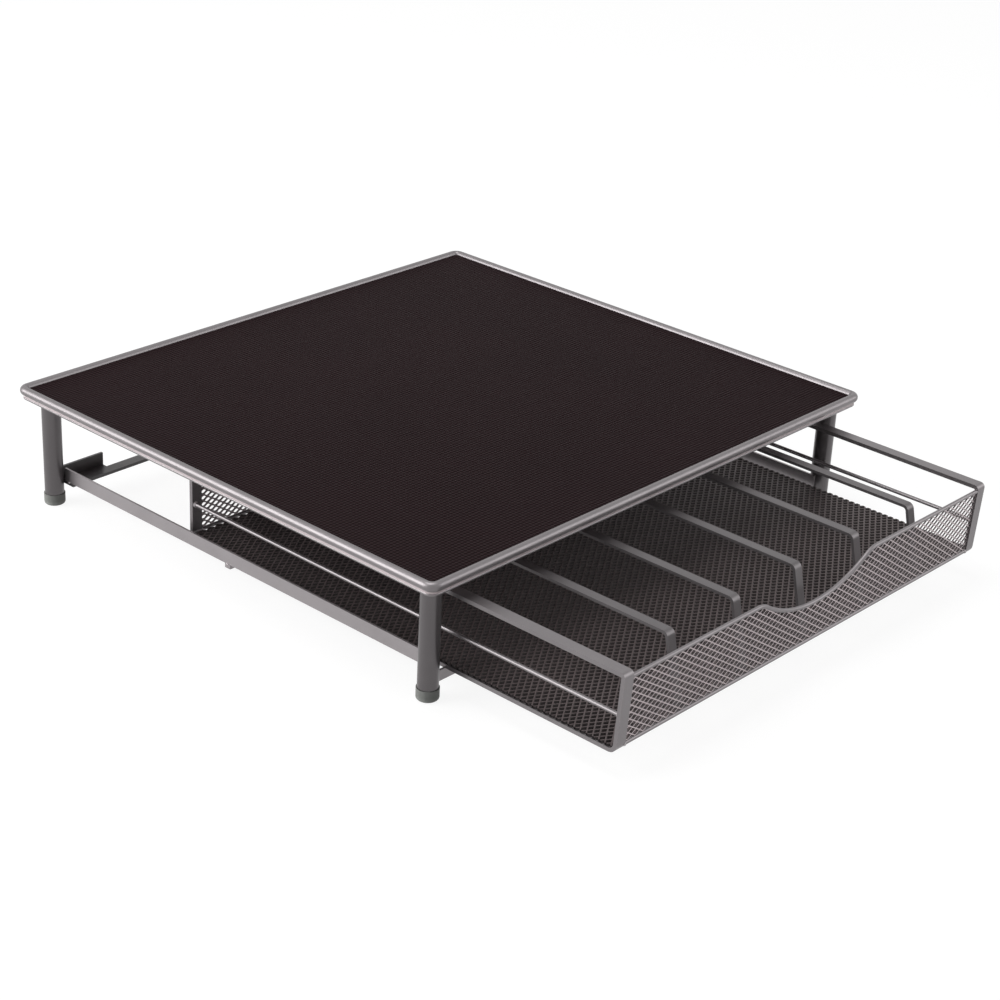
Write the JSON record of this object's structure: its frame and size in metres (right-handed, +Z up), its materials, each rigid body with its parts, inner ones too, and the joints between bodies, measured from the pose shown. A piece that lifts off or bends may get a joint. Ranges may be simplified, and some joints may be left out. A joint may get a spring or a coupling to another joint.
{
  "type": "coffee pod drawer",
  "caption": "Low mesh drawer for coffee pods that slides out from under a flat matted deck on round legs, with a scooped front for the fingers.",
  "frame": {"origin": "on the worktop, under the middle of the outline with the drawer pulled out as shown", "axes": "+Z up, the drawer slides out along -Y, +X to the right seen from the front"},
  "size_m": [0.35, 0.4179, 0.0708],
  "materials": {
    "wire": "satin silver-grey powder coat",
    "net": "satin silver-grey powder coat on mesh",
    "strip": "satin silver-grey powder coat",
    "bar": "satin silver-grey powder coat",
    "leg": "satin grey powder coat",
    "mat": "matt, fine woven texture",
    "cap": "matt"
  },
  "bodies": {
    "stand": {"deck_lip": "wire", "deck_mat": "mat", "deck_rim": "wire", "deck_sheet": "net", "foot_cap_front_left": "cap", "foot_cap_front_right": "cap", "foot_cap_rear_left": "cap", "foot_cap_rear_right": "cap", "front_bar": "bar", "leg_front_left": "leg", "leg_front_right": "leg", "leg_rear_left": "leg", "leg_rear_right": "leg", "middle_strip": "bar", "rail_left": "bar", "rail_right": "bar", "rear_strip": "bar", "stop_bracket_left": "bar", "stop_bracket_right": "bar"},
    "drawer": {"divider_1": "strip", "divider_2": "strip", "divider_3": "strip", "divider_4": "strip", "divider_5": "strip", "floor_net": "net", "front_low_wire": "wire", "front_net": "net", "front_top_wire": "wire", "rear_low_wire": "wire", "rear_net": "net", "rear_top_wire": "wire", "side_frame_left": "wire", "side_frame_right": "wire", "side_rod_left": "wire", "side_rod_right": "wire"}
  },
  "joints": [
    {"name": "drawer_slide", "type": "slide", "parent": "stand", "child": "drawer", "axis": [0, -1, 0], "range_m": [-0.104, 0.128]}
  ]
}
